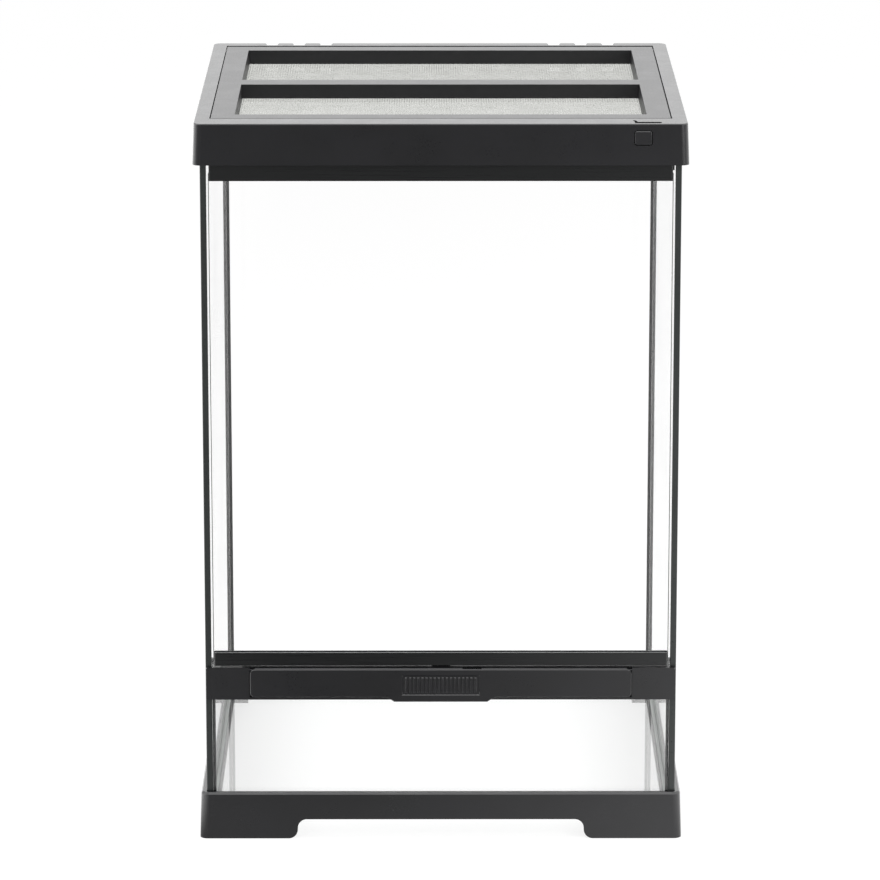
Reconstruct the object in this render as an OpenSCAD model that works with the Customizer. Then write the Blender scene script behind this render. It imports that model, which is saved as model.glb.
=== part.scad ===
// Glass terrarium with a hinged front door, a ventilated front bar and a hinged screen cover.
// Millimetres. X to the right, Y to the back, Z up. Origin: centre of the footprint, on the floor.

/* [Glass box] */
// Width of the glass box
box_w = 300; // [260:10:600]
// Depth of the glass box
box_d = 300; // [260:10:600]
// Overall height
total_h = 465; // [320:5:650]
// Thickness of every glass pane
glass_t = 4; // [3:0.5:5]
// Sealant joint between panes
joint_gap = 0.3; // [0.3:0.1:0.5]
// Size of the sealant fillets
bead = 2; // [2:0.5:4]

/* [Base frame] */
// Height of the base frame
base_h = 30.5; // [26:0.5:40]
// Height of the raised skirt above the floor
skirt_rise = 12.7; // [8:0.1:13]
// Half width of the raised skirt's flat part
skirt_flat = 85.9; // [60:0.1:100]
// Radius of the curves between skirt and feet
foot_r = 5.85; // [4:0.05:6]
// Underside of the floor glass
floor_z = 17; // [17:0.5:20]
// Thickness of the ledge under the floor glass
ledge_t = 3; // [2:0.5:3]
// How far the frames stand out from the glass at their glass-side edge
frame_out = 3.5; // [3.5:0.5:5]
// Draft of the frames' outer faces
draft = 1; // [0.5:0.1:1.5]
// Plan radius of the frames' corners
corner_r = 5; // [4:0.5:8]

/* [Vent bar and latch] */
// Underside of the vent bar
bar_z = 92.5; // [70:0.1:140]
// Height of the vent bar
bar_h = 21.1; // [20:0.1:24]
// Half width of the latch plate
plate_half = 121.5; // [90:0.5:124]
// Half width of the finger lip
lip_half = 29.7; // [20:0.1:45]
// How far the finger lip hangs below the plate
lip_drop = 3; // [3:0.1:5]
// Number of air slots in the bar
slot_count = 10; // [6:2:12]
// Length of one air slot
slot_w = 18; // [10:1:20]

/* [Door] */
// Inset of the hinge axis from the side pane's inner face
hinge_inset = 4; // [4:0.1:6]
// Thickness of the door rails
rail_t = 6.5; // [6.5:0.1:8]
// Height of the lower door rail
rail_low_h = 8.4; // [7:0.1:12]
// Height of the upper door rail
rail_top_h = 9.8; // [9:0.1:14]
// Radius of the hinge pins
door_pin_r = 1.5; // [1.2:0.1:1.6]

/* [Top frame] */
// Height of the top frame
top_h = 26; // [26:0.5:34]
// Width of the front rim
rim_front = 18.9; // [18.5:0.1:24]
// Width of the side rims
rim_side = 9.2; // [9:0.1:12]
// Width of the rear rim
rim_rear = 10.7; // [10.5:0.1:14]
// Distance between neighbouring cable notches
notch_pitch = 18.25; // [17:0.05:20]
// Distance of the innermost notch from the middle
notch_first = 77.3; // [60:0.1:80]
// Width of a notch at its root
notch_w = 7.6; // [6:0.1:8]
// Distance of the push button from the right-hand end of the glass
button_inset = 24.3; // [22:0.1:40]
// Width of the push button's hole
button_w = 11.5; // [9:0.1:12]
// Height of the push button's hole
button_h = 9.4; // [7:0.1:9.4]

/* [Screen cover] */
// Thickness of the cover
lid_t = 11.7; // [11.7:0.1:14]
// Gap round the cover
lid_gap = 0.6; // [0.4:0.1:1]
// Width of the cover's side bars
bar_side = 14.7; // [12:0.1:20]
// Width of the cover's front bar
bar_front = 14.3; // [12:0.1:20]
// Width of the cover's rear bar
bar_rear = 18.6; // [16:0.1:24]
// Width of the cover's cross bar
bar_cross = 17.7; // [12:0.1:30]
// Depth of the front window
window_front = 109.6; // [80:0.1:200]
// Thickness of the mesh panels
mesh_t = 0.4; // [0.3:0.1:0.6]

/* [Hidden] */
$fn = 64;
eps = 0.01;
cut = 1;              // overshoot of every cut
clear = 0.3;          // clearance between pieces that move past each other
run_fit = 0.05;       // radial running clearance of pins
grip = 0.1;           // clearance of the glass in its channels
skin = 0.05;          // clearance of sealant to glass
hw = box_w / 2;
hd = box_d / 2;
in_x = hw - glass_t;  // inner faces of the panes
in_y = hd - glass_t;
out_top = frame_out;
out_low = frame_out + draft;
edge_low = 1.4;       // bevel along the base's rim
edge_top = 0.6;       // bevel along the top frame's rim
foot_wall = 3;        // wall of the hollow feet
foot_pad = 16;        // side of the square pads under the feet
pad_t = 2.5;
ledge_w = 8;          // width of the ledge under the floor glass

wall_z0 = floor_z + glass_t + joint_gap;
top_z = total_h - top_h;             // underside of the top frame
ledge_z = total_h - lid_t - clear;   // top of the ledge that carries the cover
ledge_plate = 2.3;
wall_z1 = ledge_z - ledge_plate - joint_gap;
back_drop = 6;                       // the back pane is lower, which leaves room for cables

bar_top = bar_z + bar_h;
bar_front_y = -hd - 2.9;             // front face of the vent bar
bar_rebate_y = -hd - 1.2;            // face behind the latch plate
bar_wall_y = -hd + 1.2;              // inner face of the bar's front wall
bar_back_y = -hd + 12;
bar_web_z = bar_z + 4.1;             // underside of the web above the lower pane
bar_web_t = 2.2;
flange_t = 2;
pane_top = bar_web_z - joint_gap;
rebate_z = bar_z + 1.4;
rebate_gap = 0.4;

plate_y0 = -hd - 4.2;                // front of the latch plate
plate_y1 = -hd - 1.6;                // back of the latch plate
plate_z0 = rebate_z + rebate_gap;
plate_z1 = bar_top - 0.8;
plate_r = 3;
lip_t = 1;                            // thickness of the finger lip
pivot_y = -hd - 1.6;
pivot_z = bar_top - 1.9;
pivot_r = 0.75;
knuckle_r = 1.6;
rod_end = 4;                         // length of rod held at each end of the plate
catch_half = 5;
catch_t = 0.6;
catch_z = pivot_z - 1.6;              // underside of the catch's arm
spring_half = 6;
spring_x = 20;                       // middle of the latch spring

hinge_x = -in_x + hinge_inset;
hinge_y = -hd + 2.25;
rail_y0 = hinge_y - rail_t / 2;
rail_y1 = hinge_y + rail_t / 2;
rail_half = in_x - 1.55;
glass_half = in_x - 1.1;
rail_gap = 1.1;                      // air gap between the bar and the door
rail_low_z = bar_top + rail_gap;
rail_top_z = top_z - 0.7 - rail_top_h;
rail_web_low = 3.5;
rail_web_top = 4.8;
door_z0 = rail_low_z + rail_web_low + 0.2;
door_z1 = rail_top_z + rail_top_h - rail_web_top - 0.2;
bracket_t = 2;
boss_r = 2.9;

fx = hw + out_top;                   // half width of the top frame at its rim
fy = hd + out_top;
rec_x = fx - rim_side;               // recess for the cover
rec_y0 = -fy + rim_front - clear;
rec_y1 = fy - rim_rear;
chan = 0.2;                          // clearance of the glass in the top frame
ledge_side = 10.3;                   // widths of the ledge that carries the cover
ledge_front = 12.9;
ledge_rear = 10.8;
open_x = rec_x - ledge_side;         // opening below the cover
open_y0 = rec_y0 + ledge_front;
open_y1 = rec_y1 - ledge_rear;
inner_t = 2.2;
web_t = 3;
box_wall = 2.1;
lip_h = 5;
notch_root_y = hd - 4.8;
cable_z0 = wall_z1 - back_drop + 0.9;
gate_y = hd - 2;                     // middle plane of the cable gates
gate_t = 1.2;
gate_travel = 9.1;
gate_notch = notch_w + 0.8;
gate_x0 = notch_first - gate_notch / 2 - 5.2;                    // ends of the right-hand gate
gate_x1 = notch_first + 2 * notch_pitch + gate_notch / 2 + 9.2;
tab_x = notch_first + 1.5 * notch_pitch;                         // middle of its thumb tab
tab_half = 2.4;
bed_x0 = notch_first - 24;                                       // ends of the bed the notches are cut in
bed_x1 = notch_first + 2 * notch_pitch + 16;

button_x = hw - button_inset;
button_z = total_h - 8.9;
button_gap = 0.4;
button_travel = 2.5;
skirt_in_y = -hd - 0.2;
box_back_y = rec_y0 - box_wall;

lid_x = rec_x - lid_gap;
lid_y0 = rec_y0 + lid_gap;
lid_y1 = rec_y1 - lid_gap;
lid_z0 = total_h - lid_t;
lid_r = 3.5;                         // radius of the cover's upper rear edge, about the hinge axis
lid_axis_y = lid_y1 - lid_r;
lid_axis_z = total_h - lid_r;
lid_pin_r = 1.5;
lid_pin_in = 4.7;
lid_corner = 2.5;                    // plan radius of the cover's rear corners
win_x = lid_x - bar_side;
win_y0 = lid_y0 + bar_front;
win_y1 = win_y0 + window_front;
win_y2 = win_y1 + bar_cross;
win_y3 = lid_y1 - bar_rear;
mesh_z = lid_z0 + 2.3;
mesh_lap = 5;
screw_r = 1.1;
screw_head_r = 2.4;
screw_xs = [-win_x - 2.6, 0, win_x + 2.6];

c_frame = [0.09, 0.09, 0.095];
c_glass = [0.82, 0.9, 0.88, 0.35];
c_seal = [0.05, 0.05, 0.05];
c_steel = [0.75, 0.76, 0.78];
c_pale = [0.62, 0.63, 0.62];

// Box from its low corner to its high corner
module span(a, b) translate(a) cube(b - a);

// Cylinders along the three axes, from a start point
module rod_x(p, r, l) translate(p) rotate([0, 90, 0]) cylinder(h = l, r = r);
module rod_y(p, r, l) translate(p) rotate([-90, 0, 0]) cylinder(h = l, r = r);
module rod_z(p, r, l) translate(p) cylinder(h = l, r = r);

// A (Y, Z) outline pulled along X
module along_x(x0, x1) translate([x0, 0, 0]) rotate([90, 0, 90]) linear_extrude(x1 - x0) children();

// An (X, Z) outline pulled along Y
module along_y(y0, y1) translate([0, y1, 0]) rotate([90, 0, 0]) linear_extrude(y1 - y0) children();

module rounded(w, h, r) {
  square([w - 2 * r, h], center = true);
  square([w, h - 2 * r], center = true);
  for (sx = [-1, 1], sy = [-1, 1]) translate([sx * (w / 2 - r), sy * (h / 2 - r)]) circle(r);
}

// Solid blank of a frame: drafted faces, round corners, bevelled rim
module drafted_blank(z0, z1, edge) {
  levels = [[z0, out_low], [z1 - edge, out_top + draft * edge / (z1 - z0)], [z1, out_top - edge * 0.6]];
  hull()
    for (l = levels, sx = [-1, 1], sy = [-1, 1])
      translate([sx * (hw + l[1] - corner_r), sy * (hd + l[1] - corner_r), l[0] - (l[0] == z1 ? eps : 0)])
        cylinder(h = eps, r = corner_r, $fn = 32);
}

// Outline removed below the skirt, between two feet
module skirt_outline() {
  r = foot_r;
  translate([-skirt_flat, -cut]) square([2 * skirt_flat, skirt_rise + cut]);
  translate([-skirt_flat - r, -cut]) square([2 * (skirt_flat + r), skirt_rise - r + cut]);
  for (s = [-1, 1]) {
    translate([s * skirt_flat, skirt_rise - r]) circle(r);
    difference() {
      translate([s > 0 ? skirt_flat + r - eps : -skirt_flat - 2 * r, -cut]) square([r + eps, r + cut]);
      translate([s * (skirt_flat + 2 * r), r]) circle(r);
      translate([s > 0 ? skirt_flat + 2 * r : -skirt_flat - 3 * r, -2 * cut]) square([r, r + 3 * cut]);
    }
  }
}

// Quarter-round sealant fillet in the corner of two walls, grown towards +X and +Y
module fillet_outline() {
  difference() {
    square([bead, bead]);
    translate([bead, bead]) circle(bead - 0.6);
    translate([bead - 0.6, bead - 0.6]) square([bead, bead]);
  }
}

// Coil spring along +Z from the origin, with closed end turns
module coil(r, wire_r, turns, length) {
  seg = 24;
  sides = 8;
  steps = seg * turns;
  rings = [for (i = [0:steps]) [for (k = [0:sides - 1])
    let (a = 360 * i / seg, b = 360 * k / sides, q = r + wire_r * cos(b))
    [q * cos(a), q * sin(a), wire_r + (length - 2 * wire_r) * i / steps + wire_r * sin(b)]]];
  points = [for (ring = rings) for (p = ring) p];
  ends = [[for (k = [0:sides - 1]) k], [for (k = [0:sides - 1]) steps * sides + sides - 1 - k]];
  walls = [for (i = [0:steps - 1], k = [0:sides - 1])
    let (n = (k + 1) % sides)
    [i * sides + k, (i + 1) * sides + k, (i + 1) * sides + n, i * sides + n]];
  polyhedron(points, concat([for (f = ends) f], walls), convexity = 10);
}

module base_frame() color(c_frame) difference() {
  drafted_blank(0, base_h, edge_low);
  // glass pocket above the ledge
  span([-hw - clear, -hd - clear, floor_z], [hw + clear, hd + clear, base_h + cut]);
  // middle of the floor and the hollow below the ledge
  span([-hw + ledge_w, -hd + ledge_w, pad_t], [hw - ledge_w, hd - ledge_w, floor_z + cut]);
  span([-hw + foot_wall, -hd + foot_pad, -cut], [hw - foot_wall, hd - foot_pad, floor_z - ledge_t]);
  span([-hw + foot_pad, -hd + foot_wall, -cut], [hw - foot_pad, hd - foot_wall, floor_z - ledge_t]);
  span([-hw + foot_wall, -hd + foot_wall, pad_t], [hw - foot_wall, hd - foot_wall, floor_z - ledge_t]);
  along_y(-hd - 20, hd + 20) skirt_outline();
  rotate([0, 0, 90]) along_y(-hw - 20, hw + 20) skirt_outline();
}

module bottom_pane() color(c_glass) span([-hw, -hd, floor_z], [hw, hd, floor_z + glass_t]);

module back_pane() color(c_glass)
  span([-in_x + joint_gap, in_y, wall_z0], [in_x - joint_gap, hd, wall_z1 - back_drop]);

module side_pane(s) color(c_glass)
  span([s > 0 ? in_x : -hw, -hd, wall_z0], [s > 0 ? hw : -in_x, hd, wall_z1]);

module left_pane() side_pane(-1);
module right_pane() side_pane(1);

module front_lower_pane() color(c_glass)
  span([-in_x + joint_gap, -hd, wall_z0], [in_x - joint_gap, -in_y, pane_top]);

module corner_bead(sx, sy, z0, z1) color(c_seal)
  translate([sx * (in_x - skin), sy * (in_y - skin), z0])
    mirror([sx > 0 ? 1 : 0, 0, 0]) mirror([0, sy > 0 ? 1 : 0, 0])
      linear_extrude(z1 - z0) fillet_outline();

bead_z0 = floor_z + glass_t + bead + 0.15;
module silicone_rear_left() corner_bead(-1, 1, bead_z0, top_z + 1.5);
module silicone_rear_right() corner_bead(1, 1, bead_z0, top_z + 1.5);
module silicone_front_left() corner_bead(-1, -1, bead_z0, bar_z - 0.2);
module silicone_front_right() corner_bead(1, -1, bead_z0, bar_z - 0.2);

module silicone_floor() color(c_seal) {
  z = floor_z + glass_t + skin;
  x = in_x - skin;
  y = in_y - skin;
  intersection() {
    span([-x, -y, z], [x, y, z + bead]);
    union() {
      for (s = [-1, 1]) {
        along_x(-x, x) translate([s * y, z]) mirror([s > 0 ? 1 : 0, 0]) fillet_outline();
        along_y(-y, y) translate([s * x, z]) mirror([s > 0 ? 1 : 0, 0]) fillet_outline();
      }
    }
  }
}

module vent_bar() color(c_frame) difference() {
  union() {
    // front wall with round ends, web over the lower pane, lip behind it, back wall and top flange
    difference() {
      translate([0, 0, bar_z + bar_h / 2]) along_y(bar_front_y, -hd - clear) rounded(2 * hw - 1.2, bar_h, 1);
      span([-hw, -hd - clear - eps, bar_z - cut], [hw, -hd, bar_web_z]);
    }
    span([-in_x + rebate_gap, -hd - clear - eps, bar_web_z], [in_x - rebate_gap, bar_back_y, bar_web_z + bar_web_t]);
    span([-in_x + rebate_gap, -in_y + clear, bar_z], [in_x - rebate_gap, -in_y + clear + 2.1, bar_web_z + eps]);
    span([-in_x + rebate_gap, -hd - clear - eps, bar_web_z], [in_x - rebate_gap, bar_wall_y, bar_top]);
    span([-in_x + rebate_gap, bar_back_y - 2, bar_web_z], [in_x - rebate_gap, bar_back_y, bar_top]);
    span([-in_x + rebate_gap, -hd - clear - eps, bar_top - flange_t], [in_x - rebate_gap, bar_back_y, bar_top]);
    for (s = [-1, 1])
      span([s > 0 ? plate_half + 1 : -in_x + rebate_gap, -hd - clear - eps, bar_web_z],
        [s > 0 ? in_x - rebate_gap : -plate_half - 1, bar_back_y, bar_top]);
  }
  // rebate for the latch plate and groove for its knuckle
  span([-plate_half - rebate_gap, bar_front_y - cut, rebate_z], [plate_half + rebate_gap, bar_rebate_y, bar_top + cut]);
  span([-plate_half - rebate_gap, bar_front_y - cut, pivot_z - knuckle_r - 0.5],
    [plate_half + rebate_gap, pivot_y + knuckle_r + 0.4, bar_top + cut]);
  // window for the catch's arm and slot for its tooth
  span([-catch_half - 1, pivot_y, catch_z - 1.4], [catch_half + 1, hinge_y + 2.9, bar_top - flange_t + eps]);
  span([-catch_half - 1, hinge_y - 1.4, catch_z - 1.4], [catch_half + 1, hinge_y + 2.9, bar_top + cut]);
  rod_x([-plate_half - rod_end, pivot_y, pivot_z], pivot_r + skin, 2 * (plate_half + rod_end));
  // air slots in the front and back walls
  for (i = [0:slot_count - 1])
    let (x = (i - (slot_count - 1) / 2) * (2 * plate_half - 8) / slot_count)
      translate([x, 0, bar_web_z + bar_web_t + 4.4]) along_y(bar_rebate_y - cut, bar_back_y + cut) rounded(slot_w, 5.6, 2.4);
  // seat of the hinge bracket, with its screw holes
  bracket_outline_cut() bracket_plan(0.1);
}

module bracket_outline_cut() translate([0, 0, bar_top - bracket_t]) linear_extrude(bracket_t + cut) children();

// Plan of the hinge bracket: wide round the pin, narrow behind the latch plate
module bracket_plan(grow) {
  x0 = -in_x + rebate_gap + (grow > 0 ? -cut : 0.1);
  x1 = -plate_half - rod_end - 1;
  translate([x0, hinge_y - 3.4 - grow]) square([x1 + grow - x0, 7.8 + 2 * grow]);
  translate([x1 - 1, -hd + 0.7 - grow]) square([-plate_half + 6.4 - x1 + grow, hinge_y + 4.4 + hd - 0.7 + 2 * grow]);
}

module vent_grille() color(c_steel)
  span([-plate_half + 2, bar_back_y, bar_web_z + 0.6], [plate_half - 2, bar_back_y + 0.5, bar_top - 0.4]);

module hinge_bracket() color(c_pale) difference() {
  union() {
    translate([0, 0, bar_top - bracket_t]) linear_extrude(bracket_t) bracket_plan(0);
    rod_z([hinge_x, hinge_y, bar_top - eps], boss_r, rail_gap - clear);
    translate([-plate_half + 0.4, hinge_y + 0.9, bar_top - eps]) linear_extrude(rail_gap - clear) rounded(8.4, 4.6, 1.2);
  }
  rod_z([hinge_x, hinge_y, bar_top - bracket_t - cut], door_pin_r + run_fit, 10);
}

module latch_pivot_rod() color(c_steel)
  rod_x([-plate_half - rod_end + 0.2, pivot_y, pivot_z], pivot_r, 2 * (plate_half + rod_end) - 0.4);

// Front outline of the latch plate with its finger lip, in (X, Z)
module plate_outline() {
  mid = (plate_z0 + plate_z1) / 2;
  translate([0, mid]) rounded(2 * plate_half, plate_z1 - plate_z0, plate_r);
  z = plate_z0 - lip_drop;
  polygon([[-lip_half - 5.6, plate_z0 + eps], [-lip_half - 2.2, plate_z0 - lip_drop / 2], [-lip_half, z],
    [lip_half, z], [lip_half + 2.2, plate_z0 - lip_drop / 2], [lip_half + 5.6, plate_z0 + eps]]);
}

module latch_plate() color(c_frame) difference() {
  union() {
    along_y(plate_y0, plate_y1) plate_outline();
    rod_x([-plate_half + plate_r, pivot_y, pivot_z], knuckle_r, 2 * (plate_half - plate_r));
    // web that joins the knuckle to the plate
    span([-plate_half + plate_r, plate_y0 + 1, pivot_z - knuckle_r + 0.4], [plate_half - plate_r, pivot_y + 0.4, plate_z1]);
  }
  rod_x([-plate_half - cut, pivot_y, pivot_z], pivot_r + run_fit, 2 * (plate_half + cut));
  // the lip is thin where it hangs in front of the bar's sill
  span([-lip_half - 2 * lip_drop, plate_y0 + lip_t, plate_z0 - lip_drop - cut], [lip_half + 2 * lip_drop, plate_y1 + cut, rebate_z + clear]);
  // gap in the knuckle for the coil spring
  span([spring_x - spring_half, plate_y1, pivot_z - knuckle_r - cut], [spring_x + spring_half, pivot_y + knuckle_r + cut, pivot_z + knuckle_r + cut]);
  rod_x([spring_x - spring_half, pivot_y, pivot_z], knuckle_r + 0.1, 2 * spring_half);
  // seat of the catch
  span([-catch_half - 0.1, pivot_y + 1.0, pivot_z - knuckle_r - cut], [catch_half + 0.1, pivot_y + knuckle_r + cut, pivot_z + knuckle_r + cut]);
}

module latch_spring() color(c_steel)
  translate([spring_x - spring_half + 0.4, pivot_y, pivot_z]) rotate([0, 90, 0])
    coil(1.15, 0.28, 16, 2 * spring_half - 0.8);

// Springy tongue: a leaf seated on the knuckle, an arm below the flange and a tooth that stands up into the door's lower rail
module latch_catch() color(c_steel) {
  y0 = pivot_y + 1.06;
  y1 = hinge_y - 0.4;
  z1 = rail_low_z + 1.2;
  along_x(-catch_half, catch_half)
    polygon([[y0, catch_z], [y1, catch_z], [y1, z1], [y1 - catch_t, z1], [y1 - catch_t, catch_z + catch_t],
      [y0 + catch_t, catch_z + catch_t], [y0 + catch_t, pivot_z + 0.6], [y0, pivot_z + 0.6]]);
}

module door_pane() color(c_glass) span([-glass_half, -hd, door_z0], [glass_half, -in_y, door_z1]);

module rail_plan(r) translate([0, hinge_y]) rounded(2 * rail_half, rail_t, r);

module door_bottom_rail() color(c_frame) difference() {
  translate([0, 0, rail_low_z]) linear_extrude(rail_low_h) rail_plan(1);
  span([-rail_half - cut, -hd - grip, rail_low_z + rail_web_low], [rail_half + cut, -in_y + grip, rail_low_z + rail_low_h + cut]);
  rod_z([hinge_x, hinge_y, rail_low_z - cut], door_pin_r + skin, 3.3 + cut);
  // pocket for the catch's tooth
  span([-catch_half - 1, hinge_y - 1.4, rail_low_z - cut], [catch_half + 1, hinge_y + 1.9, rail_low_z + 1.7]);
}

module door_top_rail() color(c_frame) difference() {
  translate([0, 0, rail_top_z]) linear_extrude(rail_top_h) rail_plan(1);
  span([-rail_half - cut, -hd - grip, rail_top_z - cut], [rail_half + cut, -in_y + grip, rail_top_z + rail_top_h - rail_web_top]);
  rod_z([hinge_x, hinge_y, rail_top_z + rail_top_h - 4.2], door_pin_r + skin, 4.2 + cut);
}

module door_pin_bottom() color(c_steel)
  rod_z([hinge_x, hinge_y, bar_top - bracket_t + clear], door_pin_r, rail_low_z + 3.2 - bar_top + bracket_t - clear);

module door_pin_top() color(c_steel)
  rod_z([hinge_x, hinge_y, rail_top_z + rail_top_h - 4.1], door_pin_r, top_z + web_t + 1 - rail_top_z - rail_top_h + 4.1);

function notch_xs() = [notch_first, notch_first + notch_pitch, notch_first + 2 * notch_pitch];

module notch_cuts(s) {
  for (n = notch_xs()) {
    x = s * n;
    translate([0, 0, cable_z0]) linear_extrude(total_h - cable_z0 + cut)
      polygon([[x - notch_w / 2, notch_root_y], [x + notch_w / 2, notch_root_y], [x + notch_w / 2, hd - 0.6],
        [x + notch_w / 2 + 1.4, hd + out_low + cut], [x - notch_w / 2 - 1.4, hd + out_low + cut], [x - notch_w / 2, hd - 0.6]]);
    // tunnel under the cover's ledge
    span([x - notch_w / 2, open_y1 - cut, cable_z0], [x + notch_w / 2, notch_root_y + cut, ledge_z - 1.2]);
  }
  // channel of the sliding gate and the slot for its thumb tab
  mirror([s > 0 ? 0 : 1, 0, 0]) {
    span([gate_x0 - gate_travel - 1, gate_y - gate_t / 2 - clear, cable_z0], [gate_x1 + 0.6, gate_y + gate_t / 2 + clear, total_h - 2.2]);
    span([tab_x - tab_half - 0.4 - gate_travel, gate_y, cable_z0 + 2.7], [tab_x + tab_half + 0.4, hd + out_low + cut, cable_z0 + 9.3]);
  }
}

module top_frame() color(c_frame) difference() {
  union() {
    difference() {
      drafted_blank(top_z, total_h, edge_top);
      // room for the glass, the recess for the cover and the opening below it
      span([-hw - chan, -hd - chan, top_z - cut], [hw + chan, hd + chan, ledge_z - ledge_plate]);
      span([-rec_x, rec_y0, ledge_z], [rec_x, rec_y1, total_h + cut]);
      span([-open_x, open_y0, ledge_z - ledge_plate - cut], [open_x, open_y1, ledge_z + cut]);
      // hollow of the latch housing along the front
      span([-in_x + 2.5, skirt_in_y, top_z - cut], [in_x - 2.5, box_back_y, total_h - 3]);
    }
    // inner skirts that grip the side and back panes
    for (s = [-1, 1])
      span([s > 0 ? in_x - clear - inner_t : -in_x + clear, -hd - eps, top_z + 2],
        [s > 0 ? in_x - clear : -in_x + clear + inner_t, in_y - clear, ledge_z - ledge_plate + eps]);
    span([-in_x + clear, in_y - clear - inner_t, top_z + 2], [in_x - clear, in_y - clear, ledge_z - ledge_plate + eps]);
    // solid bed that the cable notches are cut in
    for (s = [-1, 1])
      span([s > 0 ? bed_x0 : -bed_x1, in_y - clear - inner_t, wall_z1 - back_drop + joint_gap],
        [s > 0 ? bed_x1 : -bed_x0, hd + 1, ledge_z - ledge_plate + eps]);
    // web above the door and the lip that the door closes against
    span([-in_x + clear, -hd - 1, top_z], [in_x - clear, rail_y1 + 2.4, top_z + web_t]);
    span([hinge_x + 6, rail_y1 + 0.4, top_z - lip_h], [in_x - clear, rail_y1 + 2.4, top_z + web_t]);
  }
  rod_z([hinge_x, hinge_y, top_z - cut], door_pin_r + run_fit, web_t + 3 * cut);
  for (s = [-1, 1]) notch_cuts(s);
  // bores of the cover's hinge pins
  rod_x([rec_x - cut, lid_axis_y, lid_axis_z], lid_pin_r + run_fit, 5.2 + cut);
  rod_x([-rec_x - 5.2, lid_axis_y, lid_axis_z], lid_pin_r + run_fit, 5.2 + cut);
  // button hole, the slot in the rim above it and the window for the catch
  translate([button_x, 0, button_z]) along_y(-hd - 10, skirt_in_y + cut) rounded(button_w, button_h, 1.8);
  translate([button_x + 3.1, -hd + 1.4, total_h - 3 - cut]) linear_extrude(5) rounded(16.8, 4.4, 1.2);
  translate([button_x - 4.4, -hd + 4.6, total_h - 3 - cut]) rotate([0, 0, 14]) linear_extrude(5) rounded(1.8, 8.6, 0.8);
  span([button_x - 3.6, box_back_y - cut, total_h - 10.2], [button_x + 3.6, rec_y0 + cut, total_h - 5.8]);
}

// Comb that closes the notches when it slides by half a pitch
module gate(s) color(c_frame) mirror([s > 0 ? 0 : 1, 0, 0]) {
  difference() {
    span([gate_x0, gate_y - gate_t / 2, cable_z0 + 0.4], [gate_x1, gate_y + gate_t / 2, total_h - 2.6]);
    for (n = notch_xs()) span([n - gate_notch / 2, gate_y - 2, cable_z0 + 1.4], [n + gate_notch / 2, gate_y + 2, total_h]);
  }
  span([tab_x - tab_half, gate_y - eps, cable_z0 + 3.1], [tab_x + tab_half, hd + out_top - 0.2, cable_z0 + 8.9]);
}

module cable_gate_left() gate(-1);
module cable_gate_right() gate(1);

// Drafted window through the cover frame
module window_cut(y0, y1) {
  d = 0.9;
  hull() {
    span([-win_x + d, y0 + d, mesh_z - cut], [win_x - d, y1 - d, mesh_z + mesh_t + eps]);
    span([-win_x, y0, total_h], [win_x, y1, total_h + cut]);
  }
}

module lid_frame() color(c_frame) difference() {
  intersection() {
    along_x(-lid_x, lid_x) union() {
      translate([lid_y0, lid_z0]) square([lid_axis_y - lid_y0, lid_t]);
      translate([lid_axis_y, lid_axis_z]) circle(lid_r, $fn = 96);
      // below the axis the rear face stays inside the cover's turning circle
      intersection() {
        translate([lid_axis_y - eps, lid_z0]) square([lid_r + eps, lid_t - lid_r]);
        translate([lid_axis_y, lid_axis_z]) circle(lid_t - lid_r, $fn = 96);
      }
    }
    translate([0, 0, lid_z0 - cut]) linear_extrude(lid_t + 2 * cut) union() {
      translate([-lid_x, lid_y0]) square([2 * lid_x, lid_y1 - lid_y0 - lid_corner]);
      translate([-lid_x + lid_corner, lid_y1 - 5]) square([2 * (lid_x - lid_corner), 5]);
      for (s = [-1, 1]) translate([s * (lid_x - lid_corner), lid_y1 - lid_corner]) circle(lid_corner);
    }
  }
  window_cut(win_y0, win_y1);
  window_cut(win_y2, win_y3);
  // pocket for mesh and retainer
  span([-win_x - mesh_lap - clear, win_y0 - mesh_lap - clear, lid_z0 - cut],
    [win_x + mesh_lap + clear, win_y3 + mesh_lap + clear, mesh_z + mesh_t]);
  for (s = [-1, 1])
    rod_x([s > 0 ? lid_x - lid_pin_in : -lid_x - cut, lid_axis_y, lid_axis_z], lid_pin_r + skin, lid_pin_in + cut);
  for (x = screw_xs, y = screw_ys()) rod_z([x, y, mesh_z], screw_r + skin, 6);
  // pocket for the catch's nose
  span([button_x - 4, lid_y0 - cut, total_h - 10], [button_x + 4, lid_y0 + 1.6, total_h - 6]);
}

function screw_ys() = [win_y0 - 2.4, (win_y1 + win_y2) / 2, win_y3 + 2.4];

module mesh_panel(y0, y1) color(c_steel)
  span([-win_x - mesh_lap, y0, mesh_z], [win_x + mesh_lap, y1, mesh_z + mesh_t]);

// Each panel lies on the retainer and is pierced by its outer screws
module lid_mesh_front() mesh_holes() mesh_panel(win_y0 - mesh_lap, win_y1 + 6);
module lid_mesh_rear() mesh_holes() mesh_panel(win_y2 - 6, win_y3 + mesh_lap);

module mesh_holes() difference() {
  children();
  color(c_steel) for (x = screw_xs, y = screw_ys()) rod_z([x, y, mesh_z - cut], screw_r + 0.2, 3);
}

module lid_mesh_retainer() color(c_frame) difference() {
  span([-win_x - mesh_lap, win_y0 - mesh_lap, lid_z0], [win_x + mesh_lap, win_y3 + mesh_lap, mesh_z]);
  span([-win_x, win_y0, lid_z0 - cut], [win_x, win_y1, mesh_z + cut]);
  span([-win_x, win_y2, lid_z0 - cut], [win_x, win_y3, mesh_z + cut]);
  for (x = screw_xs, y = screw_ys()) {
    rod_z([x, y, lid_z0 - cut], screw_r + 0.2, 10);
    rod_z([x, y, lid_z0 - cut], screw_head_r + 0.1, 1.4 + cut);
  }
}

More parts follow.
